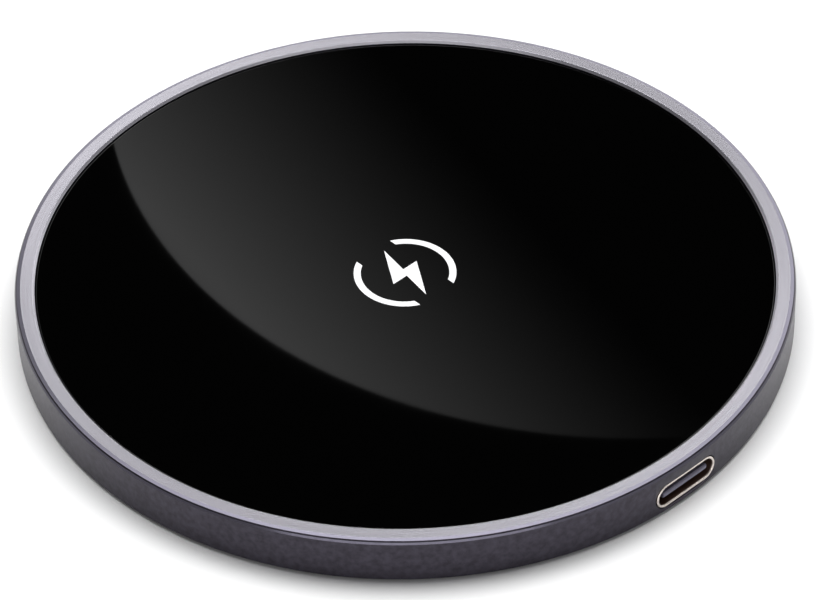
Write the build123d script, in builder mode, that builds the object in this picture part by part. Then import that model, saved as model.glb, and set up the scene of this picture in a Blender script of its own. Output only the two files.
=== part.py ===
from build123d import *
import math
import os

# A round wireless charging pad: an aluminium ring holds a black glass top, and a plastic
# base closes it from below. The coil, its ferrite and the circuit board lie between them.
# Millimetres, +Z up. The origin is the centre of the plane that the foot rests on, and the
# charging port opens towards -Y.

os.makedirs("parts", exist_ok=True)

# ---- driving dimensions -------------------------------------------------------------
body_radius = 44.0  # outside of the aluminium ring
body_height = 6.0  # from the resting plane to the flat top of the ring
foot_standoff = 0.2  # how far the rubber foot lifts the ring

wall_thickness = 2.0  # ring wall beside the base
rim_width = 2.25  # ring wall beside the glass
facet_width = 0.40  # slightly sloping facet along the ring's top edge
facet_drop = 0.06
corner_width = 0.13  # corner outside the facet
corner_drop = 0.13
edge_width = 0.12  # steep bevel between the corner and the wall
edge_drop = 0.26
lip_chamfer = 0.25  # inner edge of the ring's flat top
bottom_chamfer = 0.30
ledge_width = 2.15  # shelf that carries the glass
ledge_thickness = 0.8

glass_thickness = 0.9
glass_recess = 0.4  # top of the glass below the top of the ring
glass_gap = 0.07  # around the glass
glass_bevel = 0.12
film_thickness = 0.1
film_margin = 0.2  # film edge inside the glass edge
adhesive_thickness = 0.15
adhesive_margin = 0.15  # adhesive edge inside the shelf's edges

cover_gap = 0.1  # around the base cover, inside the ring
cover_floor = 1.0
cover_rim_thickness = 1.0
cover_rim_height = 2.0

foot_margin = 0.9  # from the base cover's edge to the foot
foot_width = 5.5
foot_recess = 0.2
foot_gap = 0.1
foot_rounding = 0.12

screw_radius = 1.0
screw_count = 4
screw_head_radius = 1.75
screw_head_height = 0.45
screw_head_cover = 0.05  # between the head and the foot
screw_clearance = 0.1
screw_engagement = 1.7
thread_run_out = 0.2
head_clearance = 0.1
post_radius = 2.3  # threaded posts under the shelf
post_gap = 0.1
boss_radius = 2.5
boss_height = 0.6

board_thickness = 0.6
board_drop = 0.42  # top of the board below the port's centre
board_gap = 0.4  # to the base cover's rim
board_inner_gap = 1.5  # to the ferrite
board_sweep = 230.0  # degrees of the ring that the board covers
post_to_board_gap = 0.4
peg_radius = 0.7
peg_gap = 0.05
peg_shoulder = 1.5
peg_height = 0.4  # above the board
peg_inset = 2.2
peg_azimuths = (165.0, 248.0, 292.0, 15.0)

coil_turns = 10
coil_pitch = 1.15
coil_strand_width = 1.0
coil_height = 1.1
coil_start_radius = 10.0
coil_to_film_gap = 0.1
coil_tape_thickness = 0.1
coil_tape_margin = 0.8
ferrite_radius = 25.0
ferrite_thickness = 0.8
ferrite_slot_width = 2.4
ferrite_slot_start = 4.0
foam_margin = 1.0
lead_thickness = 0.6
pad_length = 1.6  # solder joint of a lead on the board
pad_reach = 0.7  # from the board's inner edge to the joint
outer_lead_offset = 1.6

thermistor_size = 2.6
thermistor_height = 1.0
thermistor_wire = 0.25
thermistor_wire_width = 0.3
thermistor_wire_spacing = 1.7

# USB-C receptacle, standard outline
port_height = 2.4  # centre of the port above the ring's bottom face
shell_width = 8.94
shell_height = 3.16
shell_wall = 0.3
shell_length = 7.5
shell_setback = 0.1
slot_gap = 0.12  # around the shell in the ring's wall
shell_floor_gap = 0.1
shell_side_gap = 0.15
tab_length = 1.2
tab_reach = 1.5
tab_thickness = 0.3
tab_inset = 0.5  # first tab inside the board's edge
tab_step = 2.4  # from the first tab to the second
tongue_width = 6.69
tongue_thickness = 0.7
tongue_setback = 0.2
insulator_back = 1.3
mid_plate_thickness = 0.15
mid_plate_setback = 0.4
contact_count = 12
contact_pitch = 0.5
contact_width = 0.26
contact_thickness = 0.12
contact_proud = 0.04
contact_setback = 0.5
contact_foot = 0.8
upper_tail_reach = 1.1

mark_radius = 5.8  # charging mark printed on the glass
mark_thickness = 0.02
mark_line = 0.8
mark_gap = 5.2
bolt_height = 8.8
bolt_width = 4.6

# ---- heights ------------------------------------------------------------------------
ring_bottom = foot_standoff
glass_top_z = body_height - glass_recess
glass_bottom = glass_top_z - glass_thickness
film_bottom = glass_bottom - film_thickness
ledge_top = film_bottom - adhesive_thickness
ledge_bottom = ledge_top - ledge_thickness
floor_top = ring_bottom + cover_floor
groove_top = ring_bottom + foot_recess
boss_top = floor_top + boss_height
head_bottom = groove_top + screw_head_cover
head_top = head_bottom + screw_head_height
coil_top = film_bottom - coil_to_film_gap
coil_bottom = coil_top - coil_height
ferrite_top = coil_bottom - coil_tape_thickness
ferrite_bottom = ferrite_top - ferrite_thickness
port_z = ring_bottom + port_height
board_top = port_z - board_drop
board_bottom = board_top - board_thickness
shell_bottom = port_z - shell_height / 2
pocket_floor = shell_bottom - shell_floor_gap

# ---- radii --------------------------------------------------------------------------
wall_inner = body_radius - wall_thickness
pocket_radius = body_radius - rim_width
ledge_inner = pocket_radius - ledge_width
corner_outer = body_radius - edge_width
facet_outer = corner_outer - corner_width
land_outer = facet_outer - facet_width
glass_radius = pocket_radius - glass_gap
film_radius = glass_radius - film_margin
cover_radius = wall_inner - cover_gap
cover_rim_inner = cover_radius - cover_rim_thickness
post_circle = cover_rim_inner - post_gap - post_radius
foot_outer = cover_radius - foot_margin
foot_inner = foot_outer - foot_width
board_outer = cover_rim_inner - board_gap
board_inner = ferrite_radius + board_inner_gap
board_middle = (board_inner + board_outer) / 2
coil_outer_radius = coil_start_radius + coil_turns * coil_pitch
lead_end = board_inner + pad_reach + pad_length

# ---- port places --------------------------------------------------------------------
shell_front = body_radius - shell_setback
shell_back = shell_front - shell_length
port_plane = Plane(origin=(0, -shell_front, port_z), x_dir=(1, 0, 0), z_dir=(0, -1, 0))
pocket_width = shell_width + 2 * shell_side_gap
lead_y = coil_strand_width / 2


def save(piece, name):
    """Label a finished piece and write it to its own file."""
    piece.part.label = name
    export_step(piece.part, f"parts/{name}.step")


def post_places():
    """The screw axes, evenly spaced and half a step away from the port."""
    return PolarLocations(post_circle, screw_count, start_angle=180 / screw_count)


def ring_sketch(outer, inner):
    """A flat ring about the pad's axis."""
    Circle(outer)
    Circle(inner, mode=Mode.SUBTRACT)


def port_notch(outer, inner, mode=Mode.ADD):
    """A rectangle across the port, as wide as its shell with a gap on each side."""
    with Locations((0, -(outer + inner) / 2)):
        Rectangle(pocket_width, outer - inner, mode=mode)


# ---- aluminium ring -----------------------------------------------------------------
with BuildPart() as housing_ring:
    with BuildSketch(Plane.XZ):
        with BuildLine():
            Polyline(
                (wall_inner, ring_bottom),
                (body_radius - bottom_chamfer, ring_bottom),
                (body_radius, ring_bottom + bottom_chamfer),
                (body_radius, body_height - facet_drop - corner_drop - edge_drop),
                (corner_outer, body_height - facet_drop - corner_drop),
                (facet_outer, body_height - facet_drop),
                (land_outer, body_height),
                (pocket_radius + lip_chamfer, body_height),
                (pocket_radius, body_height - lip_chamfer),
                (pocket_radius, ledge_top),
                (ledge_inner, ledge_top),
                (ledge_inner, ledge_bottom),
                (wall_inner, ledge_bottom),
                close=True,
            )
        make_face()
    revolve(axis=Axis.Z)
    # threaded posts that the base cover is screwed to
    with BuildSketch(Plane.XY.offset(boss_top)):
        with post_places():
            Circle(post_radius)
    extrude(amount=ledge_top - boss_top)
    with BuildSketch(Plane.XY.offset(boss_top)):
        with post_places():
            Circle(screw_radius)
    extrude(amount=screw_engagement + thread_run_out, mode=Mode.SUBTRACT)
    # the shelf stops short on both sides of the port
    with BuildSketch(Plane.XY.offset(ledge_bottom)):
        port_notch(wall_inner, ledge_inner - ledge_width)
    extrude(amount=ledge_thickness, mode=Mode.SUBTRACT)
    with BuildSketch(port_plane.offset(rim_width)):
        SlotOverall(shell_width + 2 * slot_gap, shell_height + 2 * slot_gap)
    extrude(amount=-(rim_width + wall_thickness + ledge_width), mode=Mode.SUBTRACT)
save(housing_ring, "housing_ring")

# ---- glass top, the mark printed on it and what is stuck under it -------------------
with BuildPart() as glass_top:
    with BuildSketch(Plane.XY.offset(glass_bottom)):
        Circle(glass_radius)
    extrude(amount=glass_thickness)
    chamfer(glass_top.edges().group_by(Axis.Z)[-1], glass_bevel)
save(glass_top, "glass_top")

with BuildPart() as centre_mark:
    with BuildSketch(Plane.XY.offset(glass_top_z)):
        ring_sketch(mark_radius, mark_radius - mark_line)
        Rectangle(mark_gap, 3 * mark_radius, mode=Mode.SUBTRACT)
        with BuildLine():
            Polyline(
                (0.2 * bolt_width, bolt_height / 2),
                (-bolt_width / 2, -0.06 * bolt_height),
                (-0.05 * bolt_width, -0.06 * bolt_height),
                (-0.2 * bolt_width, -bolt_height / 2),
                (bolt_width / 2, 0.06 * bolt_height),
                (0.05 * bolt_width, 0.06 * bolt_height),
                close=True,
            )
        make_face()
    extrude(amount=mark_thickness)
save(centre_mark, "centre_mark")

with BuildPart() as black_film:
    with BuildSketch(Plane.XY.offset(film_bottom)):
        Circle(film_radius)
    extrude(amount=film_thickness)
save(black_film, "black_film")

with BuildPart() as glass_adhesive:
    with BuildSketch(Plane.XY.offset(ledge_top)):
        ring_sketch(pocket_radius - 2 * adhesive_margin, ledge_inner + adhesive_margin)
        port_notch(body_radius, ledge_inner - ledge_width, mode=Mode.SUBTRACT)
    extrude(amount=adhesive_thickness)
save(glass_adhesive, "glass_adhesive")

# ---- base cover, its foot and its screws --------------------------------------------
with BuildPart() as base_cover:
    with BuildSketch(Plane.XY.offset(ring_bottom)):
        Circle(cover_radius)
    extrude(amount=cover_floor)
    with BuildSketch(Plane.XY.offset(floor_top)):
        ring_sketch(cover_radius, cover_rim_inner)
    extrude(amount=cover_rim_height)
    with BuildSketch(Plane.XY.offset(floor_top)):
        with post_places():
            Circle(boss_radius)
    extrude(amount=boss_height)
    # shoulders and pegs that hold the circuit board
    with BuildSketch(Plane.XY.offset(floor_top)):
        for azimuth in peg_azimuths:
            with PolarLocations(board_outer - peg_inset, 1, start_angle=azimuth):
                Circle(peg_shoulder)
    extrude(amount=board_bottom - floor_top)
    with BuildSketch(Plane.XY.offset(board_bottom)):
        for azimuth in peg_azimuths:
            with PolarLocations(board_outer - peg_inset, 1, start_angle=azimuth):
                Circle(peg_radius)
    extrude(amount=board_thickness + peg_height)
    # groove for the foot, then the screw holes inside it
    with BuildSketch(Plane.XY.offset(ring_bottom)):
        ring_sketch(foot_outer + foot_gap, foot_inner - foot_gap)
    extrude(amount=foot_recess, mode=Mode.SUBTRACT)
    with BuildSketch(Plane.XY.offset(ring_bottom)):
        with post_places():
            Circle(screw_head_radius + head_clearance)
    extrude(amount=head_top - ring_bottom, mode=Mode.SUBTRACT)
    with BuildSketch(Plane.XY.offset(ring_bottom)):
        with post_places():
            Circle(screw_radius + screw_clearance)
    extrude(amount=boss_top - ring_bottom, mode=Mode.SUBTRACT)
    # the rim opens and the floor thins under the port's shell
    with BuildSketch(Plane.XY.offset(pocket_floor)):
        port_notch(body_radius, shell_back - shell_side_gap)
    extrude(amount=cover_floor + cover_rim_height, mode=Mode.SUBTRACT)
save(base_cover, "base_cover")

with BuildPart() as foot_ring:
    with BuildSketch():
        ring_sketch(foot_outer, foot_inner)
    extrude(amount=groove_top)
    fillet(foot_ring.edges().group_by(Axis.Z)[0], foot_rounding)
save(foot_ring, "foot_ring")

with BuildPart() as base_screws:
    with BuildSketch(Plane.XY.offset(head_bottom)):
        with post_places():
            Circle(screw_head_radius)
    extrude(amount=screw_head_height)
    with BuildSketch(Plane.XY.offset(head_top)):
        with post_places():
            Circle(screw_radius)
    extrude(amount=boss_top - head_top + screw_engagement)
    with BuildSketch(Plane.XY.offset(head_bottom)):
        with post_places():
            Rectangle(1.2 * screw_head_radius, 0.3 * screw_radius)
            Rectangle(0.3 * screw_radius, 1.2 * screw_head_radius)
    extrude(amount=screw_head_height / 2, mode=Mode.SUBTRACT)
save(base_screws, "base_screws")

# ---- coil stack, pressed up towards the glass by the foam ---------------------------
with BuildPart() as foam_pad:
    with BuildSketch(Plane.XY.offset(floor_top)):
        Circle(ferrite_radius - foam_margin)
    extrude(amount=ferrite_bottom - floor_top)
save(foam_pad, "foam_pad")


def lead_slot():
    """The slot that lets the inner lead pass under the coil, open at the ferrite's edge."""
    slot_length = ferrite_radius - ferrite_slot_start + foam_margin
    with Locations((-ferrite_slot_start - slot_length / 2, lead_y)):
        Rectangle(slot_length, ferrite_slot_width, mode=Mode.SUBTRACT)


with BuildPart() as ferrite_plate:
    with BuildSketch(Plane.XY.offset(ferrite_bottom)):
        Circle(ferrite_radius)
        lead_slot()
    extrude(amount=ferrite_thickness)
save(ferrite_plate, "ferrite_plate")

with BuildPart() as coil_tape:
    with BuildSketch(Plane.XY.offset(ferrite_top)):
        ring_sketch(coil_outer_radius + coil_tape_margin, coil_start_radius - coil_tape_margin)
        lead_slot()
    extrude(amount=coil_tape_thickness)
save(coil_tape, "coil_tape")

# The winding is a flat spiral of half circles about two centres, half a pitch apart.
with BuildPart() as transmit_coil:
    with BuildSketch(Plane.XY.offset(coil_bottom)):
        with BuildLine():
            for half_turn in range(2 * coil_turns):
                centre = (-(half_turn % 2) * coil_pitch / 2, 0)
                middle = coil_start_radius + half_turn * coil_pitch / 2
                start = 180 * ((half_turn + 1) % 2)
                CenterArc(centre, middle - coil_strand_width / 2, start, 180)
                CenterArc(centre, middle + coil_strand_width / 2, start, 180)
            for end in (coil_start_radius, coil_outer_radius):
                Line((-end - coil_strand_width / 2, 0), (-end + coil_strand_width / 2, 0))
        make_face()
    extrude(amount=coil_height)
save(transmit_coil, "transmit_coil")

# The inner lead drops from the winding's first turn and runs out through the slot.
with BuildPart() as coil_lead_inner:
    with BuildSketch(Plane.XZ):
        with BuildLine():
            Polyline(
                (-coil_start_radius + coil_strand_width / 2, coil_top),
                (-coil_start_radius - coil_strand_width / 2, coil_top),
                (-coil_start_radius - coil_strand_width / 2, ferrite_top),
                (-lead_end, ferrite_top),
                (-lead_end, board_top),
                (-lead_end + pad_length, board_top),
                (-lead_end + pad_length, ferrite_top - lead_thickness),
                (-coil_start_radius + coil_strand_width / 2, ferrite_top - lead_thickness),
                close=True,
            )
        make_face()
    extrude(amount=-coil_strand_width)
save(coil_lead_inner, "coil_lead_inner")

# The outer lead leaves the last turn, bends outwards and steps down to the board.
with BuildPart() as coil_lead_outer:
    lead_near = -outer_lead_offset
    lead_far = -outer_lead_offset - coil_strand_width
    with BuildSketch(Plane.XY.offset(coil_bottom)):
        with BuildLine():
            Polyline(
                (-coil_outer_radius + coil_strand_width / 2, 0),
                (-coil_outer_radius - coil_strand_width / 2, 0),
                (-coil_outer_radius - coil_strand_width / 2, lead_near),
                (-lead_end, lead_near),
                (-lead_end, lead_far),
                (-coil_outer_radius + coil_strand_width / 2, lead_far),
                close=True,
            )
        make_face()
    extrude(amount=lead_thickness)
    with BuildSketch(Plane.XY.offset(board_top)):
        with Locations((-lead_end + pad_length / 2, (lead_near + lead_far) / 2)):
            Rectangle(pad_length, coil_strand_width)
    extrude(amount=coil_bottom - board_top)
save(coil_lead_outer, "coil_lead_outer")

with BuildPart() as thermistor:
    with BuildSketch(Plane.XY.offset(ferrite_top)):
        with Locations((0, lead_y)):
            RectangleRounded(thermistor_size, thermistor_size, 0.1 * thermistor_size)
    extrude(amount=thermistor_height)
    fillet(thermistor.edges().group_by(Axis.Z)[-1], 0.08 * thermistor_size)
save(thermistor, "thermistor")

# Two wires run from the thermistor, down into the slot and out to the board.
with BuildPart() as thermistor_wires:
    wire_bottom = ferrite_top - lead_thickness
    drop_x = -ferrite_slot_start - thermistor_wire
    for side in (-1, 1):
        wire_y = lead_y + side * thermistor_wire_spacing / 2 + thermistor_wire_width / 2
        with BuildSketch(Plane.XZ.offset(-wire_y)):
            with BuildLine():
                Polyline(
                    (-thermistor_size / 2, ferrite_top),
                    (-thermistor_size / 2, ferrite_top + thermistor_wire),
                    (drop_x - thermistor_wire, ferrite_top + thermistor_wire),
                    (drop_x - thermistor_wire, wire_bottom + thermistor_wire),
                    (-lead_end, wire_bottom + thermistor_wire),
                    (-lead_end, board_top),
                    (-lead_end + thermistor_wire, board_top),
                    (-lead_end + thermistor_wire, wire_bottom),
                    (drop_x, wire_bottom),
                    (drop_x, ferrite_top),
                    close=True,
                )
            make_face()
        extrude(amount=thermistor_wire_width)
save(thermistor_wires, "thermistor_wires")

# ---- circuit board ------------------------------------------------------------------
tab_x = shell_width / 2 + tab_reach - tab_thickness / 2
board_edge = -math.sqrt(board_outer**2 - (shell_width / 2 + tab_reach)**2)
first_tab = board_edge + tab_inset + tab_length / 2
tab_y = [first_tab, first_tab + tab_step]
tab_spots = [(side * tab_x, y) for side in (-1, 1) for y in tab_y]

with BuildPart() as circuit_board:
    with BuildSketch(Plane.XY.offset(board_bottom)):
        ring_sketch(board_outer, board_inner)
        # the board leaves this wedge of the ring free, opposite the port
        half_gap = math.radians(360 - board_sweep) / 2
        reach = 2 * body_radius
        with BuildLine():
            Polyline(
                (0, 0),
                (reach * math.sin(half_gap), reach * math.cos(half_gap)),
                (0, reach),
                (-reach * math.sin(half_gap), reach * math.cos(half_gap)),
                close=True,
            )
        make_face(mode=Mode.SUBTRACT)
        with post_places():
            Circle(post_radius + post_to_board_gap, mode=Mode.SUBTRACT)
        port_notch(body_radius, shell_back - shell_side_gap, mode=Mode.SUBTRACT)
        with Locations(*tab_spots):
            Rectangle(2 * tab_thickness, tab_length + tab_thickness, mode=Mode.SUBTRACT)
        for azimuth in peg_azimuths:
            with PolarLocations(board_outer - peg_inset, 1, start_angle=azimuth):
                Circle(peg_radius + peg_gap, mode=Mode.SUBTRACT)
    extrude(amount=board_thickness)
save(circuit_board, "circuit_board")


def board_spots(places):
    """Places on the board's top, given as azimuth and offset from the board's middle."""
    spots = []
    for azimuth, offset in places:
        angle = math.radians(azimuth)
        radius = board_middle + offset
        spots.append(Location((radius * math.cos(angle), radius * math.sin(angle), board_top),
                              (0, 0, azimuth)))
    return Locations(*spots)


def evenly(first, step, count, offset):
    """A row of places along the board, step degrees apart."""
    return [(first + step * index, offset) for index in range(count)]


# name: (size across the board, size along it, height, edge softening, places)
board_components = {
    "controller_chip": (6.0, 6.0, 0.85, 0.05, [(308, -1.5)]),
    "usb_power_chip": (4.0, 4.0, 0.80, 0.05, [(280, -2.5)]),
    "power_stage_chips": (5.0, 4.0, 0.90, 0.05, [(328, 0), (342, 0)]),
    "power_inductor": (4.2, 4.2, 1.90, 0.40, [(238, -2.0)]),
    "resonant_capacitors": (3.2, 2.5, 1.80, 0.10, evenly(197, 6.5, 4, -1.5)),
    "bulk_capacitors": (3.2, 1.6, 1.60, 0.10, evenly(249, 5.0, 4, -3.5)),
    "sense_resistor": (3.2, 1.6, 0.50, 0.05, [(335, 4.5)]),
    "crystal": (3.2, 2.5, 0.70, 0.10, [(296, -1.5)]),
    "small_capacitors": (1.0, 0.5, 0.50, 0.05, evenly(284, 3.0, 7, -5.8) + evenly(349, 2.5, 6, 2)),
    "small_resistors": (1.0, 0.5, 0.35, 0.05, evenly(349, 2.5, 6, -2) + evenly(193, 2.5, 8, 3)),
}
for name, (across, along, height, softening, places) in board_components.items():
    with BuildPart() as component:
        with board_spots(places):
            Box(across, along, height, align=(Align.CENTER, Align.CENTER, Align.MIN))
        chamfer(component.edges().filter_by(Axis.Z), softening)
    save(component, name)

# ---- USB-C receptacle ---------------------------------------------------------------
with BuildPart() as usb_shell:
    with BuildSketch(port_plane):
        SlotOverall(shell_width, shell_height)
        SlotOverall(shell_width - 2 * shell_wall, shell_height - 2 * shell_wall, mode=Mode.SUBTRACT)
    extrude(amount=-shell_length)
    # wings that lie on the board, each with a leg through it
    for side in (-1, 1):
        wing_inner = shell_width / 2 - shell_wall
        wing_outer = shell_width / 2 + tab_reach
        with BuildSketch(Plane.XY.offset(board_top)):
            for y in tab_y:
                with Locations((side * (wing_inner + wing_outer) / 2, y)):
                    Rectangle(wing_outer - wing_inner, tab_length)
        extrude(amount=tab_thickness)
    with BuildSketch(Plane.XY.offset(board_bottom)):
        with Locations(*tab_spots):
            Rectangle(tab_thickness, tab_length)
    extrude(amount=board_thickness)
save(usb_shell, "usb_shell")

tongue_top = port_z + tongue_thickness / 2
tongue_bottom = port_z - tongue_thickness / 2
tongue_front = -shell_front + tongue_setback
insulator_front = -shell_back - insulator_back
contact_front = tongue_front + contact_setback
upper_bottom = tongue_top + contact_proud - contact_thickness
lower_bottom = tongue_bottom - contact_proud


def contact_strips(bottom, front, back):
    """One rectangle for each contact, side by side at this height."""
    with BuildSketch(Plane.XY.offset(bottom)) as strips:
        with Locations((0, (front + back) / 2)):
            with GridLocations(contact_pitch, 1, contact_count, 1):
                Rectangle(contact_width, back - front)
    return strips.sketch


# Contacts lie in both faces of the tongue and end in feet soldered to the board.
upper_knee = -shell_back + upper_tail_reach
with BuildPart() as usb_contacts_upper:
    extrude(contact_strips(upper_bottom, contact_front, upper_knee), amount=contact_thickness)
    extrude(
        contact_strips(board_top, upper_knee - contact_thickness, upper_knee),
        amount=upper_bottom - board_top,
    )
    extrude(
        contact_strips(board_top, upper_knee, upper_knee + contact_foot),
        amount=contact_thickness,
    )
save(usb_contacts_upper, "usb_contacts_upper")

lower_end = -shell_back + contact_foot
with BuildPart() as usb_contacts_lower:
    extrude(contact_strips(lower_bottom, contact_front, lower_end), amount=contact_thickness)
    extrude(
        contact_strips(board_top, lower_end - contact_foot / 2, lower_end),
        amount=lower_bottom - board_top,
    )
save(usb_contacts_lower, "usb_contacts_lower")

with BuildPart() as usb_mid_plate:
    plate_front = tongue_front + mid_plate_setback
    with BuildSketch(Plane.XY.offset(port_z - mid_plate_thickness / 2)):
        with Locations((0, (plate_front - shell_back) / 2)):
            Rectangle(tongue_width, -shell_back - plate_front)
    extrude(amount=mid_plate_thickness)
save(usb_mid_plate, "usb_mid_plate")

with BuildPart() as usb_insulator:
    with BuildSketch(port_plane.offset(-shell_length)):
        SlotOverall(shell_width - 2 * shell_wall, shell_height - 2 * shell_wall)
    extrude(amount=insulator_back)
    with BuildSketch(port_plane.offset(-shell_length)):
        Rectangle(tongue_width, tongue_thickness)
    extrude(amount=shell_length - tongue_setback)
    chamfer(usb_insulator.edges().group_by(Axis.Y)[0].filter_by(Axis.X), tongue_thickness / 5)
    add(usb_mid_plate.part, mode=Mode.SUBTRACT)
    add(usb_contacts_upper.part, mode=Mode.SUBTRACT)
    add(usb_contacts_lower.part, mode=Mode.SUBTRACT)
save(usb_insulator, "usb_insulator")
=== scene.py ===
import math

import bmesh
import bpy
from mathutils import Matrix, Quaternion, Vector


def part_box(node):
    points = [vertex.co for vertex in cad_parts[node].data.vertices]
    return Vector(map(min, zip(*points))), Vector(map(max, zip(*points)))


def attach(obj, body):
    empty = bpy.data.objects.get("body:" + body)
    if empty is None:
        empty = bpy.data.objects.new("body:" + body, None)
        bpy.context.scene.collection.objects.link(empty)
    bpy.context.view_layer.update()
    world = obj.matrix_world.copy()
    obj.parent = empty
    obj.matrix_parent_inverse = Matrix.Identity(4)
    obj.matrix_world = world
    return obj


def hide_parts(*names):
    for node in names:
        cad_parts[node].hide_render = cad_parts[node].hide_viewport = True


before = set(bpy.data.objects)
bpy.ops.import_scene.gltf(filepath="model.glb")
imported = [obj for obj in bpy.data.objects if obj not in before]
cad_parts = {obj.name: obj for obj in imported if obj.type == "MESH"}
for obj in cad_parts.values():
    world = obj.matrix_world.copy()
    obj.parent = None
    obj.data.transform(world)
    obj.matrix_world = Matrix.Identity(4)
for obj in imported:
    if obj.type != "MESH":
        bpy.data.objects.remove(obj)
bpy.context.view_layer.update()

MM = 0.001

# ---- Camera ---------------------------------------------------------------------------
# The pad is seen from above its front left, with the port to the right, through a long
# lens that keeps the round body close to a true ellipse.
aim_height = 0.4
aim = Vector((0, 0, aim_height * MM))
view_azimuth = math.radians(-42.85)
view_elevation = math.radians(41.28)
view_roll = math.radians(-1.29)
view_distance = 528 * MM
towards_camera = Vector((
    math.sin(view_azimuth) * math.cos(view_elevation),
    -math.cos(view_azimuth) * math.cos(view_elevation),
    math.sin(view_elevation),
))
camera_data = bpy.data.cameras.new("camera")
camera_data.sensor_width = 36
camera_data.lens = 203
camera_data.shift_x = 0.0081
camera_data.shift_y = 0.0087
camera_data.clip_start = 0.01
camera_data.clip_end = 20
camera = bpy.data.objects.new("camera", camera_data)
camera.location = aim + towards_camera * view_distance
camera.rotation_mode = "QUATERNION"
camera.rotation_quaternion = (
    (-towards_camera).to_track_quat("-Z", "Y") @ Quaternion((0, 0, 1), view_roll)
)
bpy.context.scene.collection.objects.link(camera)
bpy.context.scene.camera = camera


# ---- Housing ring ---------------------------------------------------------------------
# The body is one turned ring of 6061 aluminium, bead blasted and anodised space grey.
# Its flat top is turned again after blasting, which leaves fine rings and a paler grey,
# and a diamond tool cuts the narrow facet outside it. The port is milled through the wall.
def linear(hex_colour):
    """An sRGB hex colour as the linear values that a shader takes."""
    channels = [int(hex_colour[i:i + 2], 16) / 255 for i in (1, 3, 5)]
    return [c / 12.92 if c <= 0.04045 else ((c + 0.055) / 1.055) ** 2.4 for c in channels] + [1]


def node(tree, kind, inputs=None, **settings):
    """Adds one node with its settings, and its inputs as values or as links.

    A mix of colours takes its two colours as inputs 6 and 7.
    """
    made = tree.nodes.new(kind)
    for name, value in settings.items():
        setattr(made, name, value)
    for key, value in (inputs or {}).items():
        if isinstance(value, bpy.types.NodeSocket):
            tree.links.new(value, made.inputs[key])
        else:
            made.inputs[key].default_value = value
    return made


def new_material(name):
    """An empty node material."""
    material = bpy.data.materials.new(name)
    material.use_nodes = True
    material.node_tree.nodes.clear()
    return material


def stand_for(piece, materials, node_name):
    """Gives a new piece its materials, and has it ride and stand for a node of the frame."""
    for material in materials:
        piece.data.materials.append(material)
    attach(piece, "root")
    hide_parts(node_name)


def made_object(name, maker):
    """The object of a finished bmesh."""
    mesh = bpy.data.meshes.new(name)
    maker.to_mesh(mesh)
    maker.free()
    piece = bpy.data.objects.new(name, mesh)
    bpy.context.scene.collection.objects.link(piece)
    return piece


def turned(outline, steps, closed=True):
    """The outline's points, radius and height in mm, turned about Z into a solid."""
    solid = bmesh.new()
    corners = [solid.verts.new((radius * MM, 0, height * MM)) for radius, height in outline]
    edges = [solid.edges.new(pair) for pair in zip(corners, corners[1:])]
    if closed:
        edges.append(solid.edges.new((corners[-1], corners[0])))
    bmesh.ops.spin(
        solid, geom=corners + edges, cent=(0, 0, 0), axis=(0, 0, 1), dvec=(0, 0, 0),
        angle=2 * math.pi, steps=steps, use_merge=True, use_duplicate=False,
    )
    bmesh.ops.remove_doubles(solid, verts=solid.verts, dist=1e-7)
    bmesh.ops.recalc_face_normals(solid, faces=solid.faces)
    return solid


def rounded(outline, radii, points=4):
    """The outline with each corner that has a radius turned into a short arc, in mm.

    A narrow border on both sides of each arc keeps the shading of the faces beside it flat.
    """
    border = 0.03
    softened = []
    for index, corner in enumerate(outline):
        here = Vector(corner)
        if index not in radii:
            softened.append(tuple(here))
            continue
        before = (Vector(outline[index - 1]) - here).normalized()
        after = (Vector(outline[(index + 1) % len(outline)]) - here).normalized()
        half = before.angle(after) / 2
        centre = here + (before + after).normalized() * radii[index] / math.sin(half)
        reach = radii[index] / math.tan(half)
        first = here + before * reach - centre
        last = here + after * reach - centre
        softened.append(tuple(here + before * (reach + border)))
        for step in range(points + 1):
            swing = first.lerp(last, step / points).normalized()
            softened.append(tuple(centre + swing * radii[index]))
        softened.append(tuple(here + after * (reach + border)))
    return softened


def smooth_shaded(piece, limit_degrees):
    """Smooth shading, broken at every edge sharper than the limit."""
    piece.data.polygons.foreach_set("use_smooth", [True] * len(piece.data.polygons))
    piece.data.set_sharp_from_angle(angle=math.radians(limit_degrees))


def combine(piece, tool_mesh, operation):
    """Joins a tool's solid to the piece, or cuts it out of the piece."""
    tool = made_object("tool", tool_mesh)
    modifier = piece.modifiers.new("combine", "BOOLEAN")
    modifier.operation = operation
    modifier.solver = "EXACT"
    modifier.object = tool
    depsgraph = bpy.context.evaluated_depsgraph_get()
    result = bpy.data.meshes.new_from_object(piece.evaluated_get(depsgraph))
    piece.modifiers.clear()
    piece.data = result
    bpy.data.objects.remove(tool)


def rods(radius, low, high, places, segments=48):
    """Upright round rods at these places, in mm."""
    maker = bmesh.new()
    for x, y in places:
        bmesh.ops.create_cone(
            maker, cap_ends=True, segments=segments, radius1=radius * MM, radius2=radius * MM,
            depth=(high - low) * MM,
            matrix=Matrix.Translation(Vector((x, y, (low + high) / 2)) * MM),
        )
    return maker


def add_block(maker, low, high):
    """Adds a plain block between two corners, in mm."""
    low, high = Vector(low) * MM, Vector(high) * MM
    size = Matrix.Diagonal((*(high - low), 1))
    bmesh.ops.create_cube(maker, size=1, matrix=Matrix.Translation((low + high) / 2) @ size)


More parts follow.
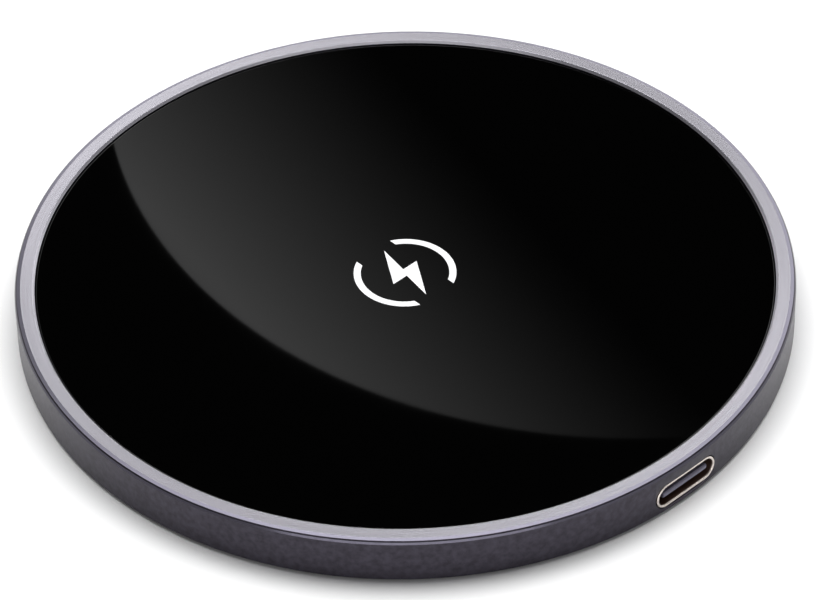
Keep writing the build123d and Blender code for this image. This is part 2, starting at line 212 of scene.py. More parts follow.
def obround(width, height, centre_z, y_front, y_back, segments=96):
    """A solid with round ends, as wide and high as given in mm, lying along Y."""
    maker = bmesh.new()
    bmesh.ops.create_circle(
        maker, cap_ends=True, segments=segments, radius=height / 2,
        matrix=Matrix.Rotation(math.pi / segments, 4, "Z"),
    )
    for corner in maker.verts:
        corner.co.x += math.copysign((width - height) / 2, corner.co.x)
    upright = Matrix.Rotation(math.pi / 2, 3, "X")
    bmesh.ops.rotate(maker, verts=maker.verts, cent=(0, 0, 0), matrix=upright)
    bmesh.ops.translate(maker, verts=maker.verts, vec=(0, y_front, centre_z))
    grown = bmesh.ops.extrude_face_region(maker, geom=maker.faces[:])
    far = [item for item in grown["geom"] if isinstance(item, bmesh.types.BMVert)]
    bmesh.ops.translate(maker, verts=far, vec=(0, y_back - y_front, 0))
    bmesh.ops.scale(maker, verts=maker.verts, vec=(MM, MM, MM))
    bmesh.ops.recalc_face_normals(maker, faces=maker.faces)
    return maker


body_low, body_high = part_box("housing_ring")
ring_radius = body_high.x / MM
ring_top = body_high.z / MM
ring_bottom = body_low.z / MM
glass_low, glass_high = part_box("glass_top")
tape_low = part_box("glass_adhesive")[0]
screw_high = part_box("base_screws")[1]
shell_low, shell_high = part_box("usb_shell")
shell_width = 8.94
shell_height = (shell_high.z - shell_low.z) / MM
port_z = (shell_high.z + shell_low.z) / 2 / MM

wall_thickness = 2.0
glass_gap = 0.07
shelf_width = 2.15
shelf_thickness = 0.8
facet_width = 0.40
facet_drop = 0.06
corner_width = 0.13
corner_drop = 0.13
edge_width = 0.12
edge_drop = 0.26
lip = 0.25
foot_chamfer = 0.30
slot_gap = 0.12
mouth_chamfer = 0.05
notch_gap = 0.15
post_radius = 2.3
post_foot = 1.8
screw_radius = 1.0
screw_head_radius = 1.75
thread_run_out = 0.2
overcut = 1.0  # how far a cutting tool stands out of what it cuts
hair = 0.01  # the most by which two places count as the same

wall_inner = ring_radius - wall_thickness
pocket_radius = glass_high.x / MM + glass_gap
shelf_top = tape_low.z / MM
shelf_inner = pocket_radius - shelf_width
corner_outer = ring_radius - edge_width
facet_outer = corner_outer - corner_width
land_outer = facet_outer - facet_width
corner_bottom = ring_top - facet_drop - corner_drop
wall_top = corner_bottom - edge_drop

ring_mesh = turned(
    rounded(
        [
            (wall_inner, ring_bottom),
            (ring_radius - foot_chamfer, ring_bottom),
            (ring_radius, ring_bottom + foot_chamfer),
            (ring_radius, wall_top),
            (corner_outer, corner_bottom),
            (facet_outer, ring_top - facet_drop),
            (land_outer, ring_top),
            (pocket_radius + lip, ring_top),
            (pocket_radius, ring_top - lip),
            (pocket_radius, shelf_top),
            (shelf_inner, shelf_top),
            (shelf_inner, shelf_top - shelf_thickness),
            (wall_inner, shelf_top - shelf_thickness),
        ],
        {1: 0.08, 2: 0.08, 3: 0.04, 4: 0.03, 5: 0.03, 6: 0.02, 7: 0.03, 8: 0.04},
    ),
    steps=720,
)
# The blasted wall is slot 0, and the machined faces are the others.
LAND, FACET, EDGE = 1, 2, 3
# The 45° corner between facet and edge passes none of these tests and stays in slot 0. Its dark line
# is partly the dim room it mirrors and partly painted shade from the wall colour.
for face in ring_mesh.faces:
    middle = face.calc_center_median() / MM
    radius = math.hypot(middle.x, middle.y)
    if radius < land_outer and middle.z > ring_top - 2 * lip:
        face.material_index = LAND
    elif land_outer < radius < facet_outer and middle.z > corner_bottom:
        face.material_index = FACET
    elif radius > corner_outer and wall_top < middle.z < corner_bottom:
        face.material_index = EDGE

housing_ring = made_object("housing_ring_body", ring_mesh)
post_circle = (screw_high.x / MM - screw_head_radius) * math.sqrt(2)
post_places = [
    (post_circle * math.cos(math.radians(turn)), post_circle * math.sin(math.radians(turn)))
    for turn in (45, 135, 225, 315)
]
screw_end = screw_high.z / MM
combine(housing_ring, rods(post_radius, post_foot, shelf_top, post_places), "UNION")
combine(
    housing_ring,
    rods(screw_radius, post_foot - overcut, screw_end + thread_run_out, post_places, segments=32),
    "DIFFERENCE",
)
half_notch = shell_width / 2 + notch_gap
notch = bmesh.new()
add_block(
    notch,
    (-half_notch, -wall_inner, shelf_top - shelf_thickness - hair),
    (half_notch, -shelf_inner + shelf_width, shelf_top + hair),
)
combine(housing_ring, notch, "DIFFERENCE")
combine(
    housing_ring,
    obround(
        shell_width + 2 * slot_gap, shell_height + 2 * slot_gap, port_z,
        y_front=-ring_radius - overcut, y_back=-shelf_inner + overcut,
    ),
    "DIFFERENCE",
)

# The slot's mouth is broken by a light deburring chamfer.
maker = bmesh.new()
maker.from_mesh(housing_ring.data)
mouth = [
    edge for edge in maker.edges
    if len(edge.link_faces) == 2
    and edge.calc_face_angle(0) > math.radians(60)
    and all(
        abs(math.hypot(end.co.x, end.co.y) / MM - ring_radius) < hair
        and end.co.y < 0
        and abs(end.co.x) / MM < shell_width
        and ring_bottom + foot_chamfer + mouth_chamfer < end.co.z / MM < wall_top
        for end in edge.verts
    )
]
bmesh.ops.bevel(
    maker, geom=mouth, offset=mouth_chamfer * MM, offset_type="OFFSET", segments=2, profile=0.5,
    affect="EDGES", material=-1, clamp_overlap=True,
)
maker.to_mesh(housing_ring.data)
maker.free()
smooth_shaded(housing_ring, 28)

# The blasted grain is about 0.1 mm, drawn at 0.25 mm so that it shows, under a soft
# mottle of about 0.7 mm where the anodising took the dye unevenly.
blasted_wall = new_material("bead_blasted_anodised_aluminium")
tree = blasted_wall.node_tree
place = node(tree, "ShaderNodeTexCoord").outputs["Object"]
mottle = node(tree, "ShaderNodeTexNoise", {"Vector": place, "Scale": 1 / (0.7 * MM), "Detail": 4.0})
grain = node(tree, "ShaderNodeTexNoise", {"Vector": place, "Scale": 1 / (0.25 * MM), "Detail": 2.0})
patches = node(tree, "ShaderNodeMapRange", {
    "Value": mottle.outputs[0], "From Min": 0.33, "From Max": 0.67,
})
dye = node(tree, "ShaderNodeMix", {
    "Factor": patches.outputs["Result"], 6: linear("#36333a"), 7: linear("#434049"),
}, data_type="RGBA")
softness = node(tree, "ShaderNodeMapRange", {
    "Value": grain.outputs[0], "To Min": 0.28, "To Max": 0.42,
})
pits = node(tree, "ShaderNodeBump", {
    "Height": grain.outputs[0], "Strength": 0.5, "Distance": 0.02 * MM,
})
surface = node(tree, "ShaderNodeBsdfPrincipled", {
    "Base Color": dye.outputs[2], "Metallic": 1.0, "Roughness": softness.outputs["Result"],
    "Normal": pits.outputs["Normal"],
})
node(tree, "ShaderNodeOutputMaterial", {"Surface": surface.outputs[0]})

# Turning leaves rings about 0.05 mm apart, drawn 0.2 mm apart so that they show, as faint
# streaks that run with the ring.
turned_land = new_material("turned_anodised_aluminium")
tree = turned_land.node_tree
place = node(tree, "ShaderNodeTexCoord").outputs["Object"]
in_plane = node(tree, "ShaderNodeVectorMath", {0: place, 1: (1, 1, 0)}, operation="MULTIPLY")
from_axis = node(tree, "ShaderNodeVectorMath", {0: in_plane.outputs["Vector"]}, operation="LENGTH")
sideways = node(tree, "ShaderNodeSeparateXYZ", {"Vector": place}).outputs["X"]
along = node(tree, "ShaderNodeMath", {0: sideways, 1: 0.02}, operation="MULTIPLY")
cut_place = node(tree, "ShaderNodeCombineXYZ", {
    "X": from_axis.outputs["Value"], "Y": along.outputs[0],
})
tool_rings = node(tree, "ShaderNodeTexNoise", {
    "Vector": cut_place.outputs[0], "Scale": 1 / (0.2 * MM), "Detail": 2.0,
})
tone = node(tree, "ShaderNodeMix", {
    "Factor": tool_rings.outputs[0], 6: linear("#a2a0a8"), 7: linear("#bcbac2"),
}, data_type="RGBA")
ridges = node(tree, "ShaderNodeBump", {
    "Height": tool_rings.outputs[0], "Strength": 0.1, "Distance": 0.004 * MM,
})
surface = node(tree, "ShaderNodeBsdfPrincipled", {
    "Base Color": tone.outputs[2], "Metallic": 1.0, "Roughness": 0.25,
    "Normal": ridges.outputs["Normal"],
})
node(tree, "ShaderNodeOutputMaterial", {"Surface": surface.outputs[0]})

# The facet is cut with a coarser feed; its grey, darker than the land's, is painted shade for a face
# that tilts away from the light. Its lower edge is left bright by the buffing wheel.
def tooled(name, face_colour, polish_from, polish_to):
    """A machined face with a slight chatter in its polish."""
    material = new_material(name)
    tree = material.node_tree
    place = node(tree, "ShaderNodeTexCoord").outputs["Object"]
    chatter = node(tree, "ShaderNodeTexNoise", {
        "Vector": place, "Scale": 1 / (0.6 * MM), "Detail": 2.0,
    })
    polish = node(tree, "ShaderNodeMapRange", {
        "Value": chatter.outputs[0], "To Min": polish_from, "To Max": polish_to,
    })
    surface = node(tree, "ShaderNodeBsdfPrincipled", {
        "Base Color": linear(face_colour), "Metallic": 1.0, "Roughness": polish.outputs["Result"],
    })
    node(tree, "ShaderNodeOutputMaterial", {"Surface": surface.outputs[0]})
    return material


# The facet's dark grey is painted shade.
cut_facet = tooled("cut_facet_painted_shade", "#5b5963", 0.25, 0.35)
buffed_edge = tooled("buffed_anodised_aluminium", "#45434c", 0.15, 0.25)
ring_materials = [blasted_wall, turned_land, cut_facet, buffed_edge]
stand_for(housing_ring, ring_materials, "housing_ring")


# ---- Glass top ------------------------------------------------------------------------
# A disc of 0.9 mm float glass, polished flat, with its edge bevelled. Black ink is fired
# on its back, so it looks black all through and mirrors the room faintly.
glass_bevel = 0.12
glass_radius = glass_high.x / MM
glass_top = made_object("glass_top_disc", turned(
    rounded(
        [
            (0, glass_low.z / MM),
            (glass_radius, glass_low.z / MM),
            (glass_radius, glass_high.z / MM - glass_bevel),
            (glass_radius - glass_bevel, glass_high.z / MM),
            (0, glass_high.z / MM),
        ],
        {1: 0.05, 2: 0.04, 3: 0.04},
    ),
    steps=720, closed=False,
))
smooth_shaded(glass_top, 28)
black_glass = new_material("black_backed_float_glass")
tree = black_glass.node_tree
place = node(tree, "ShaderNodeTexCoord").outputs["Object"]
# a polishing haze, too faint to see as marks
haze = node(tree, "ShaderNodeTexNoise", {
    "Vector": place, "Scale": 1 / (9 * MM), "Detail": 2.0,
})
gloss = node(tree, "ShaderNodeMapRange", {"Value": haze.outputs[0], "To Min": 0.012, "To Max": 0.022})
surface = node(tree, "ShaderNodeBsdfPrincipled", {
    "Base Color": linear("#020202"), "Roughness": gloss.outputs["Result"], "IOR": 1.5,
})
node(tree, "ShaderNodeOutputMaterial", {"Surface": surface.outputs[0]})
stand_for(glass_top, [black_glass], "glass_top")

# The charging mark is one pass of white screen ink on the glass, flat and half matt.
white_ink = new_material("white_screen_ink")
tree = white_ink.node_tree
place = node(tree, "ShaderNodeTexCoord").outputs["Object"]
mesh_marks = node(tree, "ShaderNodeTexNoise", {
    "Vector": place, "Scale": 1 / (0.3 * MM), "Detail": 2.0,
})
cover = node(tree, "ShaderNodeMix", {
    "Factor": mesh_marks.outputs[0], 6: linear("#e4e4e6"), 7: linear("#ececee"),
}, data_type="RGBA")
surface = node(tree, "ShaderNodeBsdfPrincipled", {
    "Base Color": cover.outputs[2], "Roughness": 0.45,
})
node(tree, "ShaderNodeOutputMaterial", {"Surface": surface.outputs[0]})


def dress(names, material):
    """Gives nodes of the frame, whose shape is already right, their material."""
    for name in names:
        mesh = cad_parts[name].data
        mesh.materials.clear()
        mesh.materials.append(material)


dress(["centre_mark"], white_ink)

# Behind the glass: the matt ink layer, and the tape that holds the glass on its shelf, whose
# foam shows as fine pores.
black_ink = new_material("black_screen_ink")
tree = black_ink.node_tree
place = node(tree, "ShaderNodeTexCoord").outputs["Object"]
speckle = node(tree, "ShaderNodeTexNoise", {
    "Vector": place, "Scale": 1 / (0.4 * MM), "Detail": 2.0,
})
matt = node(tree, "ShaderNodeMapRange", {"Value": speckle.outputs[0], "To Min": 0.55, "To Max": 0.7})
surface = node(tree, "ShaderNodeBsdfPrincipled", {
    "Base Color": linear("#101011"), "Roughness": matt.outputs["Result"],
})
node(tree, "ShaderNodeOutputMaterial", {"Surface": surface.outputs[0]})
dress(["black_film"], black_ink)

acrylic_tape = new_material("acrylic_foam_tape")
tree = acrylic_tape.node_tree
place = node(tree, "ShaderNodeTexCoord").outputs["Object"]
cells = node(tree, "ShaderNodeTexVoronoi", {"Vector": place, "Scale": 1 / (0.3 * MM)})
pores = node(tree, "ShaderNodeBump", {
    "Height": cells.outputs["Distance"], "Strength": 0.3, "Distance": 0.02 * MM,
})
surface = node(tree, "ShaderNodeBsdfPrincipled", {
    "Base Color": linear("#5d5d5f"), "Roughness": 0.7, "Normal": pores.outputs["Normal"],
})
node(tree, "ShaderNodeOutputMaterial", {"Surface": surface.outputs[0]})
dress(["glass_adhesive", "coil_tape"], acrylic_tape)


# ---- USB-C port -----------------------------------------------------------------------
# The receptacle's shell is drawn from thin stainless steel and plated with bright nickel.
# It is soldered to the board and ends flush with the wall. Its inside is left dull, and darkened with
# painted shade away from the mouth.
shell_wall = 0.3
shell_length = 7.5
shell_lip = 0.1
shell_front = shell_low.y / MM
shell = obround(
    shell_width, shell_height, port_z, y_front=shell_front, y_back=shell_front + shell_length,
)
ends = [face for face in shell.faces if abs(face.normal.y) > 0.99]
bmesh.ops.delete(shell, geom=ends, context="FACES_ONLY")
bmesh.ops.solidify(shell, geom=shell.faces[:], thickness=shell_wall * MM)
bmesh.ops.recalc_face_normals(shell, faces=shell.faces)
rims = [
    edge for edge in shell.edges
    if len(edge.link_faces) == 2
    and edge.calc_face_angle(0) > math.radians(60)
    and all(end.co.y < shell_low.y + hair * MM for end in edge.verts)
]
bmesh.ops.bevel(
    shell, geom=rims, offset=shell_lip * MM, offset_type="OFFSET", segments=4, profile=0.5,
    affect="EDGES", material=-1, clamp_overlap=True,
)
# The inner faces take the dull plate with its painted shade.
DULL_SHADED = 1
for face in shell.faces:
    middle = face.calc_center_median() / MM
    beside = max(abs(middle.x) - (shell_width - shell_height) / 2, 0)
    from_core = math.hypot(beside, middle.z - port_z)
    if from_core < shell_height / 2 - shell_wall + hair and abs(face.normal.y) < 0.3:
        face.material_index = DULL_SHADED
# wings that lie on the board, each with a leg through it
board_low, board_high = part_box("circuit_board")
wing_length = 1.2
wing_thickness = 0.3
wing_step = 2.4
wing_reach = 1.5
wing_tip = shell_width / 2 + wing_reach
wing_root = shell_width / 2 - shell_wall / 2
board_top = board_high.z / MM
for back in (shell_high.y / MM, shell_high.y / MM - wing_step):
    for side in (-1, 1):
        near, far = sorted((side * wing_root, side * wing_tip))
        add_block(
            shell, (near, back - wing_length, board_top), (far, back, board_top + wing_thickness),
        )
        near, far = sorted((side * (wing_tip - wing_thickness), side * wing_tip))
        add_block(shell, (near, back - wing_length, board_low.z / MM), (far, back, board_top))
usb_shell = made_object("usb_shell_drawn", shell)
smooth_shaded(usb_shell, 40)

bright_nickel = new_material("bright_nickel_plate")
tree = bright_nickel.node_tree
place = node(tree, "ShaderNodeTexCoord").outputs["Object"]
draw_lines = node(tree, "ShaderNodeTexNoise", {
    "Vector": place, "Scale": 1 / (0.5 * MM), "Detail": 2.0,
})
plating = node(tree, "ShaderNodeMapRange", {
    "Value": draw_lines.outputs[0], "To Min": 0.2, "To Max": 0.32,
})
surface = node(tree, "ShaderNodeBsdfPrincipled", {
    "Base Color": linear("#d6cdc6"), "Metallic": 1.0, "Roughness": plating.outputs["Result"],
})
node(tree, "ShaderNodeOutputMaterial", {"Surface": surface.outputs[0]})

# Inside, the plating is bright only next to the mouth; further in, a mottled dark brown is painted
# shade for the inside of the port.
dull_shaded_nickel = new_material("dull_inner_plate_painted_shade")
tree = dull_shaded_nickel.node_tree
place = node(tree, "ShaderNodeTexCoord").outputs["Object"]
shade_mottle = node(tree, "ShaderNodeTexNoise", {"Vector": place, "Scale": 1 / (0.7 * MM), "Detail": 2.0})
brown_shade = node(tree, "ShaderNodeMix", {
    "Factor": shade_mottle.outputs[0], 6: linear("#5a443b"), 7: linear("#6e564c"),
}, data_type="RGBA")
depth = node(tree, "ShaderNodeMapRange", {
    "Value": node(tree, "ShaderNodeSeparateXYZ", {"Vector": place}).outputs["Y"],
    "From Min": shell_low.y + 0.08 * MM, "From Max": shell_low.y + 0.25 * MM,
})
# painted shade: the bright plate at the mouth fades to the dark brown further in
film = node(tree, "ShaderNodeMix", {
    "Factor": depth.outputs["Result"], 6: linear("#d6cdc6"), 7: brown_shade.outputs[2],
}, data_type="RGBA")
surface = node(tree, "ShaderNodeBsdfPrincipled", {
    "Base Color": film.outputs[2], "Metallic": 1.0, "Roughness": 0.45,
})
node(tree, "ShaderNodeOutputMaterial", {"Surface": surface.outputs[0]})
stand_for(usb_shell, [bright_nickel, dull_shaded_nickel], "usb_shell")
dress(["usb_mid_plate"], bright_nickel)

# The tongue and its block are moulded in glass-filled liquid-crystal polymer, a satin grey.
port_polymer = new_material("liquid_crystal_polymer")
tree = port_polymer.node_tree
place = node(tree, "ShaderNodeTexCoord").outputs["Object"]
fibres = node(tree, "ShaderNodeTexNoise", {
    "Vector": place, "Scale": 1 / (0.15 * MM), "Detail": 2.0,
})
moulded = node(tree, "ShaderNodeMapRange", {
    "Value": fibres.outputs[0], "To Min": 0.4, "To Max": 0.5,
})
surface = node(tree, "ShaderNodeBsdfPrincipled", {
    "Base Color": linear("#5f5c6e"), "Roughness": moulded.outputs["Result"],
})
node(tree, "ShaderNodeOutputMaterial", {"Surface": surface.outputs[0]})
dress(["usb_insulator"], port_polymer)

# The contacts are thinly plated with gold, wiped to a soft shine.
gold_plate = new_material("gold_plated_contact")
tree = gold_plate.node_tree
place = node(tree, "ShaderNodeTexCoord").outputs["Object"]
wiped = node(tree, "ShaderNodeTexNoise", {
    "Vector": place, "Scale": 1 / (0.2 * MM), "Detail": 1.0,
})
plating = node(tree, "ShaderNodeMapRange", {
    "Value": wiped.outputs[0], "To Min": 0.25, "To Max": 0.38,
})
surface = node(tree, "ShaderNodeBsdfPrincipled", {
    "Base Color": linear("#e0b765"), "Metallic": 1.0, "Roughness": plating.outputs["Result"],
})
node(tree, "ShaderNodeOutputMaterial", {"Surface": surface.outputs[0]})
dress(["usb_contacts_upper", "usb_contacts_lower"], gold_plate)


# ---- Base cover, foot and screws ------------------------------------------------------
# The base is moulded in charcoal ABS with a spark-eroded texture. A silicone foot ring
# lies in its groove and hides the four screws.
spark_texture = new_material("textured_abs")
tree = spark_texture.node_tree
place = node(tree, "ShaderNodeTexCoord").outputs["Object"]
eroded = node(tree, "ShaderNodeTexNoise", {
    "Vector": place, "Scale": 1 / (0.18 * MM), "Detail": 3.0,
})
texture = node(tree, "ShaderNodeBump", {
    "Height": eroded.outputs[0], "Strength": 0.5, "Distance": 0.03 * MM,
})
surface = node(tree, "ShaderNodeBsdfPrincipled", {
    "Base Color": linear("#2b2b2e"), "Roughness": 0.55, "Normal": texture.outputs["Normal"],
})
node(tree, "ShaderNodeOutputMaterial", {"Surface": surface.outputs[0]})
dress(["base_cover"], spark_texture)

foot_low, foot_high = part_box("foot_ring")
foot_outer = foot_high.x / MM
foot_width = 5.5
foot_ring = made_object("foot_ring_moulding", turned(
    rounded(
        [
            (foot_outer - foot_width, foot_low.z / MM),
            (foot_outer, foot_low.z / MM),
            (foot_outer, foot_high.z / MM),
            (foot_outer - foot_width, foot_high.z / MM),
        ],
        {0: 0.12, 1: 0.12},
    ),
    steps=360,
))
smooth_shaded(foot_ring, 28)

# Silicone is matt and picks up dust in patches.
silicone = new_material("matt_silicone_rubber")
tree = silicone.node_tree
place = node(tree, "ShaderNodeTexCoord").outputs["Object"]
dusting = node(tree, "ShaderNodeTexNoise", {
    "Vector": place, "Scale": 1 / (1.5 * MM), "Detail": 4.0,
})
dusty = node(tree, "ShaderNodeMix", {
    "Factor": dusting.outputs[0], 6: linear("#1c1c1e"), 7: linear("#262628"),
}, data_type="RGBA")
surface = node(tree, "ShaderNodeBsdfPrincipled", {
    "Base Color": dusty.outputs[2], "Roughness": 0.75,
})
node(tree, "ShaderNodeOutputMaterial", {"Surface": surface.outputs[0]})
stand_for(foot_ring, [silicone], "foot_ring")

# The screws are steel with a black zinc finish, a dark satin.
black_zinc = new_material("black_zinc_steel")
tree = black_zinc.node_tree
place = node(tree, "ShaderNodeTexCoord").outputs["Object"]
passivated = node(tree, "ShaderNodeTexNoise", {
    "Vector": place, "Scale": 1 / (0.8 * MM), "Detail": 2.0,
})
sheen = node(tree, "ShaderNodeMapRange", {
    "Value": passivated.outputs[0], "To Min": 0.3, "To Max": 0.42,
})
surface = node(tree, "ShaderNodeBsdfPrincipled", {
    "Base Color": linear("#55565a"), "Metallic": 1.0, "Roughness": sheen.outputs["Result"],
})
node(tree, "ShaderNodeOutputMaterial", {"Surface": surface.outputs[0]})
dress(["base_screws"], black_zinc)


# ---- Coil stack -----------------------------------------------------------------------
# Enamelled copper litz is wound flat, bonded over a sintered ferrite plate and pressed up
# by a foam pad. A thermistor with tinned wires sits at the centre.
def fine_grained(name, dark, light, grain_mm, roughness, metallic=0.0):
    """A material whose tone varies between two colours over a grain of this size."""
    material = new_material(name)
    tree = material.node_tree
    place = node(tree, "ShaderNodeTexCoord").outputs["Object"]
    grain = node(tree, "ShaderNodeTexNoise", {
        "Vector": place, "Scale": 1 / (grain_mm * MM), "Detail": 3.0,
    })
    tone = node(tree, "ShaderNodeMix", {
        "Factor": grain.outputs[0], 6: linear(dark), 7: linear(light),
    }, data_type="RGBA")
    surface = node(tree, "ShaderNodeBsdfPrincipled", {
        "Base Color": tone.outputs[2], "Metallic": metallic, "Roughness": roughness,
    })
    node(tree, "ShaderNodeOutputMaterial", {"Surface": surface.outputs[0]})
    return material


dress(
    ["transmit_coil", "coil_lead_inner", "coil_lead_outer"],
    fine_grained("enamelled_copper_litz", "#a65a2f", "#c97845", 0.2, 0.35, metallic=1.0),
)
dress(["ferrite_plate"], fine_grained("sintered_ferrite", "#232224", "#333134", 0.3, 0.55))
dress(["foam_pad"], fine_grained("open_cell_foam", "#4a4a4d", "#6c6c70", 0.4, 0.95))
dress(["thermistor"], fine_grained("black_dipped_epoxy", "#1a1a1b", "#222223", 0.8, 0.3))
dress(
    ["thermistor_wires"],
    fine_grained("tinned_copper_wire", "#c9c7c0", "#dcdad2", 0.3, 0.3, metallic=1.0),
)


# ---- Circuit board --------------------------------------------------------------------
# A thin glass-epoxy board with green solder mask carries moulded chips, ceramic
# capacitors, glazed resistors, a pressed-powder inductor and a nickel-lidded crystal.
dress(["circuit_board"], fine_grained("green_solder_mask", "#0f4a2c", "#155a36", 1.5, 0.35))
dress(
    ["controller_chip", "usb_power_chip", "power_stage_chips"],
    fine_grained("moulded_chip_epoxy", "#222225", "#2c2c2f", 0.25, 0.55),
)
dress(
    ["resonant_capacitors", "bulk_capacitors", "small_capacitors"],
    fine_grained("barium_titanate_ceramic", "#a58769", "#b89a7a", 0.2, 0.5),
)
dress(
    ["sense_resistor", "small_resistors"],
    fine_grained("glazed_alumina", "#2e2f33", "#3a3b40", 0.3, 0.35),
)
dress(["power_inductor"], fine_grained("pressed_iron_powder", "#4b4c50", "#5d5e63", 0.25, 0.6))
dress(["crystal"], fine_grained("nickel_plated_lid", "#b9b6ae", "#cbc8c0", 0.6, 0.25, metallic=1.0))


# ---- Floor, backdrop and light --------------------------------------------------------
# A matt white table under a soft box, in a white room. Cards that only glossy surfaces see
# shape the reflections in the metal and the glass.
floor_mesh = bmesh.new()
bmesh.ops.create_grid(floor_mesh, x_segments=1, y_segments=1, size=8)
floor = made_object("floor", floor_mesh)
paper = new_material("white_paper")
tree = paper.node_tree
surface = node(tree, "ShaderNodeBsdfPrincipled", {
    "Base Color": linear("#f2f2f2"), "Roughness": 0.9, "Specular IOR Level": 0.0,
})
node(tree, "ShaderNodeOutputMaterial", {"Surface": surface.outputs[0]})
floor.data.materials.append(paper)

behind = Vector((-towards_camera.x, -towards_camera.y, 0)).normalized()
box_height = 900
box_offset = 270
box_width = 1200
box_depth = 620
box_power = 13.6
soft_box_data = bpy.data.lights.new("soft_box", "AREA")
soft_box_data.shape = "RECTANGLE"
soft_box_data.size = box_width * MM
soft_box_data.size_y = box_depth * MM
soft_box_data.energy = box_power
soft_box = bpy.data.objects.new("soft_box", soft_box_data)
soft_box.location = (behind * box_offset + Vector((0, 0, box_height))) * MM
soft_box.rotation_euler = (0, 0, view_azimuth)
bpy.context.scene.collection.objects.link(soft_box)

# The room is white at table height, brighter to the right, and dim above. The heights are
# sines of an elevation.
bright_below = 0.15
dim_above = 0.35
left_strength = 0.7
right_strength = 1.5
world = bpy.data.worlds.new("room")
world.use_nodes = True
bpy.context.scene.world = world
tree = world.node_tree
tree.nodes.clear()
direction = node(tree, "ShaderNodeTexCoord").outputs["Generated"]
height = node(tree, "ShaderNodeSeparateXYZ", {"Vector": direction}).outputs["Z"]
ramp = node(tree, "ShaderNodeValToRGB", {"Fac": height})
ramp.color_ramp.elements[0].position = bright_below
ramp.color_ramp.elements[0].color = (1, 1, 1, 1)
ramp.color_ramp.elements[1].position = dim_above
ramp.color_ramp.elements[1].color = (0.2, 0.2, 0.205, 1)
to_right = node(tree, "ShaderNodeVectorMath", {
    0: direction, 1: (math.cos(view_azimuth), math.sin(view_azimuth), 0),
}, operation="DOT_PRODUCT")
tilt = node(tree, "ShaderNodeMapRange", {
    "Value": to_right.outputs["Value"], "From Min": -1.0, "From Max": 1.0,
    "To Min": left_strength, "To Max": right_strength,
})
background = node(tree, "ShaderNodeBackground", {
    "Color": ramp.outputs["Color"], "Strength": tilt.outputs["Result"],
})
node(tree, "ShaderNodeOutputWorld", {"Surface": background.outputs["Background"]})

# Metal sees a white board behind the pad. The glass mirrors a black flag that hides the
# board, with an oval grey card in front of it that fades away across its width.
card_distance = 1000
flag_distance = 1010
board_distance = 1030
flag_half_axes = (127, 84)
flag_centre = (0, 1.4)
board_half_size = (900, 480)
card_centre = (80.3, -65.6)
card_half_axes = (176.6, 118.1)
mirrored = Vector((-towards_camera.x, -towards_camera.y, towards_camera.z))
card_right = Vector((math.cos(view_azimuth), math.sin(view_azimuth), 0))
card_up = card_right.cross(mirrored)
if card_up.z < 0:
    card_up.negate()


def card_frame(distance):
    """Where a card stands, so that its own X and Y are across and up in the mirror."""
    turn = Matrix((card_right, card_up, card_right.cross(card_up))).transposed().to_4x4()
    return Matrix.Translation(aim + mirrored * distance * MM) @ turn


def only_mirrored(card):
    """A card that nothing but a gloss surface sees."""
    card.visible_camera = False
    card.visible_diffuse = False
    card.visible_transmission = False
    card.visible_volume_scatter = False
    card.visible_shadow = False


def oval(half_axes, centre):
    """A flat oval with these half axes and centre, in mm."""
    maker = bmesh.new()
    bmesh.ops.create_circle(maker, cap_ends=True, segments=256, radius=1)
    bmesh.ops.scale(maker, verts=maker.verts, vec=(half_axes[0] * MM, half_axes[1] * MM, 1))
    bmesh.ops.translate(maker, verts=maker.verts, vec=(centre[0] * MM, centre[1] * MM, 0))
    return maker


black_flag = made_object("black_flag", oval(flag_half_axes, flag_centre))
black_flag.matrix_world = card_frame(flag_distance)
velvet = new_material("black_velvet")
tree = velvet.node_tree
surface = node(tree, "ShaderNodeEmission", {"Color": linear("#000000"), "Strength": 0.0})
node(tree, "ShaderNodeOutputMaterial", {"Surface": surface.outputs[0]})
black_flag.data.materials.append(velvet)
only_mirrored(black_flag)

# The card's grey fades from its upper left down to nothing, a little faster than evenly.
fade_direction = (-0.75, 0.66, 0)
fade_from = -44.6
fade_to = 45
grey_card = made_object("grey_card", oval(card_half_axes, card_centre))
grey_card.matrix_world = card_frame(card_distance)
lit_paper = new_material("lit_grey_paper")
tree = lit_paper.node_tree
place = node(tree, "ShaderNodeTexCoord").outputs["Object"]
up_left = node(tree, "ShaderNodeVectorMath", {0: place, 1: fade_direction}, operation="DOT_PRODUCT")
shade = node(tree, "ShaderNodeMapRange", {
    "Value": up_left.outputs["Value"], "From Min": fade_from * MM, "From Max": fade_to * MM,
    "To Min": 0.052, "To Max": 0.269,
})
falloff = node(tree, "ShaderNodeMath", {0: shade.outputs["Result"], 1: 2.4}, operation="POWER")
strength = node(tree, "ShaderNodeMath", {
    0: falloff.outputs[0], 1: 18.0, 2: -0.015,
}, operation="MULTIPLY_ADD")
surface = node(tree, "ShaderNodeEmission", {
    "Color": linear("#ffffff"), "Strength": strength.outputs[0],
})
node(tree, "ShaderNodeOutputMaterial", {"Surface": surface.outputs[0]})
grey_card.data.materials.append(lit_paper)
only_mirrored(grey_card)


def plate(half_size):
    """A flat plate with these half sides, in mm."""
    maker = bmesh.new()
    bmesh.ops.create_grid(maker, x_segments=1, y_segments=1, size=1)
    bmesh.ops.scale(maker, verts=maker.verts, vec=(half_size[0] * MM, half_size[1] * MM, 1))
    return maker


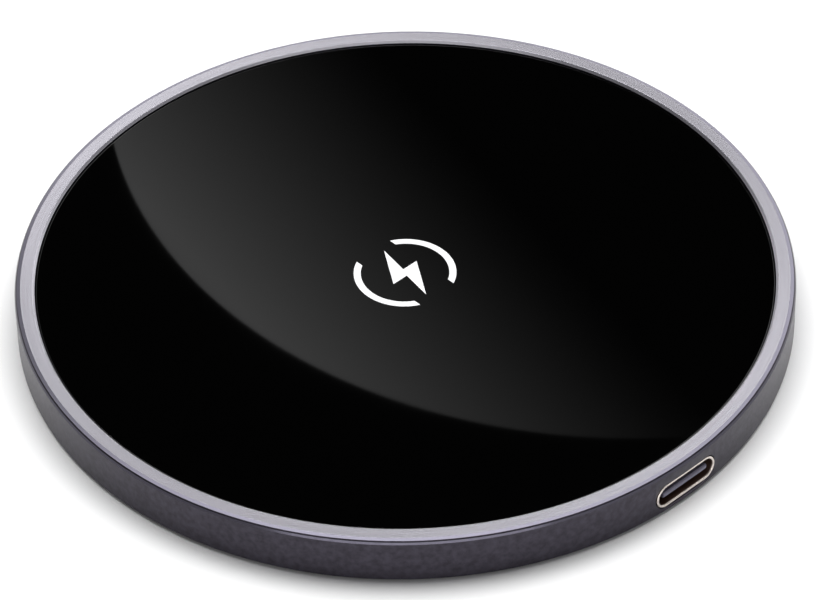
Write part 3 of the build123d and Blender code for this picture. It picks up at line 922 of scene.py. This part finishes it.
# The board is brightest at its lower right.
wash_direction = (0.52, -0.854, 0)
wash_reach = 100
wash_dim = 0.3
wash_bright = 3.9
white_board = made_object("white_board", plate(board_half_size))
white_board.matrix_world = card_frame(board_distance)
lit_board = new_material("lit_white_board")
tree = lit_board.node_tree
place = node(tree, "ShaderNodeTexCoord").outputs["Object"]
down_right = node(tree, "ShaderNodeVectorMath", {0: place, 1: wash_direction}, operation="DOT_PRODUCT")
wash = node(tree, "ShaderNodeMapRange", {
    "Value": down_right.outputs["Value"],
    "From Min": -wash_reach * MM, "From Max": wash_reach * MM,
    "To Min": wash_dim, "To Max": wash_bright,
})
surface = node(tree, "ShaderNodeEmission", {
    "Color": linear("#ffffff"), "Strength": wash.outputs["Result"],
})
node(tree, "ShaderNodeOutputMaterial", {"Surface": surface.outputs[0]})
white_board.data.materials.append(lit_board)
only_mirrored(white_board)

# A grey card above the camera fills the edges that face it.
fill_elevation = math.radians(50)
fill_distance = 900
fill_half_size = (600, 170)
fill_strength = 0.9
fill_towards = -behind * math.cos(fill_elevation) + Vector((0, 0, math.sin(fill_elevation)))
fill_card = made_object("fill_card", plate(fill_half_size))
fill_card.matrix_world = (
    Matrix.Translation(aim + fill_towards * fill_distance * MM)
    @ fill_towards.to_track_quat("Z", "Y").to_matrix().to_4x4()
)
fill_paper = new_material("lit_fill_card")
tree = fill_paper.node_tree
surface = node(tree, "ShaderNodeEmission", {"Color": linear("#ffffff"), "Strength": fill_strength})
node(tree, "ShaderNodeOutputMaterial", {"Surface": surface.outputs[0]})
fill_card.data.materials.append(fill_paper)
only_mirrored(fill_card)

# A low strip light in front draws the bright line along the ring's bevelled edge.
strip_distance = 700
strip_height = 70
strip_half_size = (450, 50)
strip_strength = 4.5
strip_light = made_object("strip_light", plate(strip_half_size))
strip_light.matrix_world = (
    Matrix.Translation((-behind * strip_distance + Vector((0, 0, strip_height))) * MM)
    @ (-behind).to_track_quat("Z", "Y").to_matrix().to_4x4()
)
strip_tube = new_material("lit_strip")
tree = strip_tube.node_tree
surface = node(tree, "ShaderNodeEmission", {"Color": linear("#ffffff"), "Strength": strip_strength})
node(tree, "ShaderNodeOutputMaterial", {"Surface": surface.outputs[0]})
strip_light.data.materials.append(strip_tube)
only_mirrored(strip_light)

bpy.context.scene.view_settings.view_transform = "Standard"
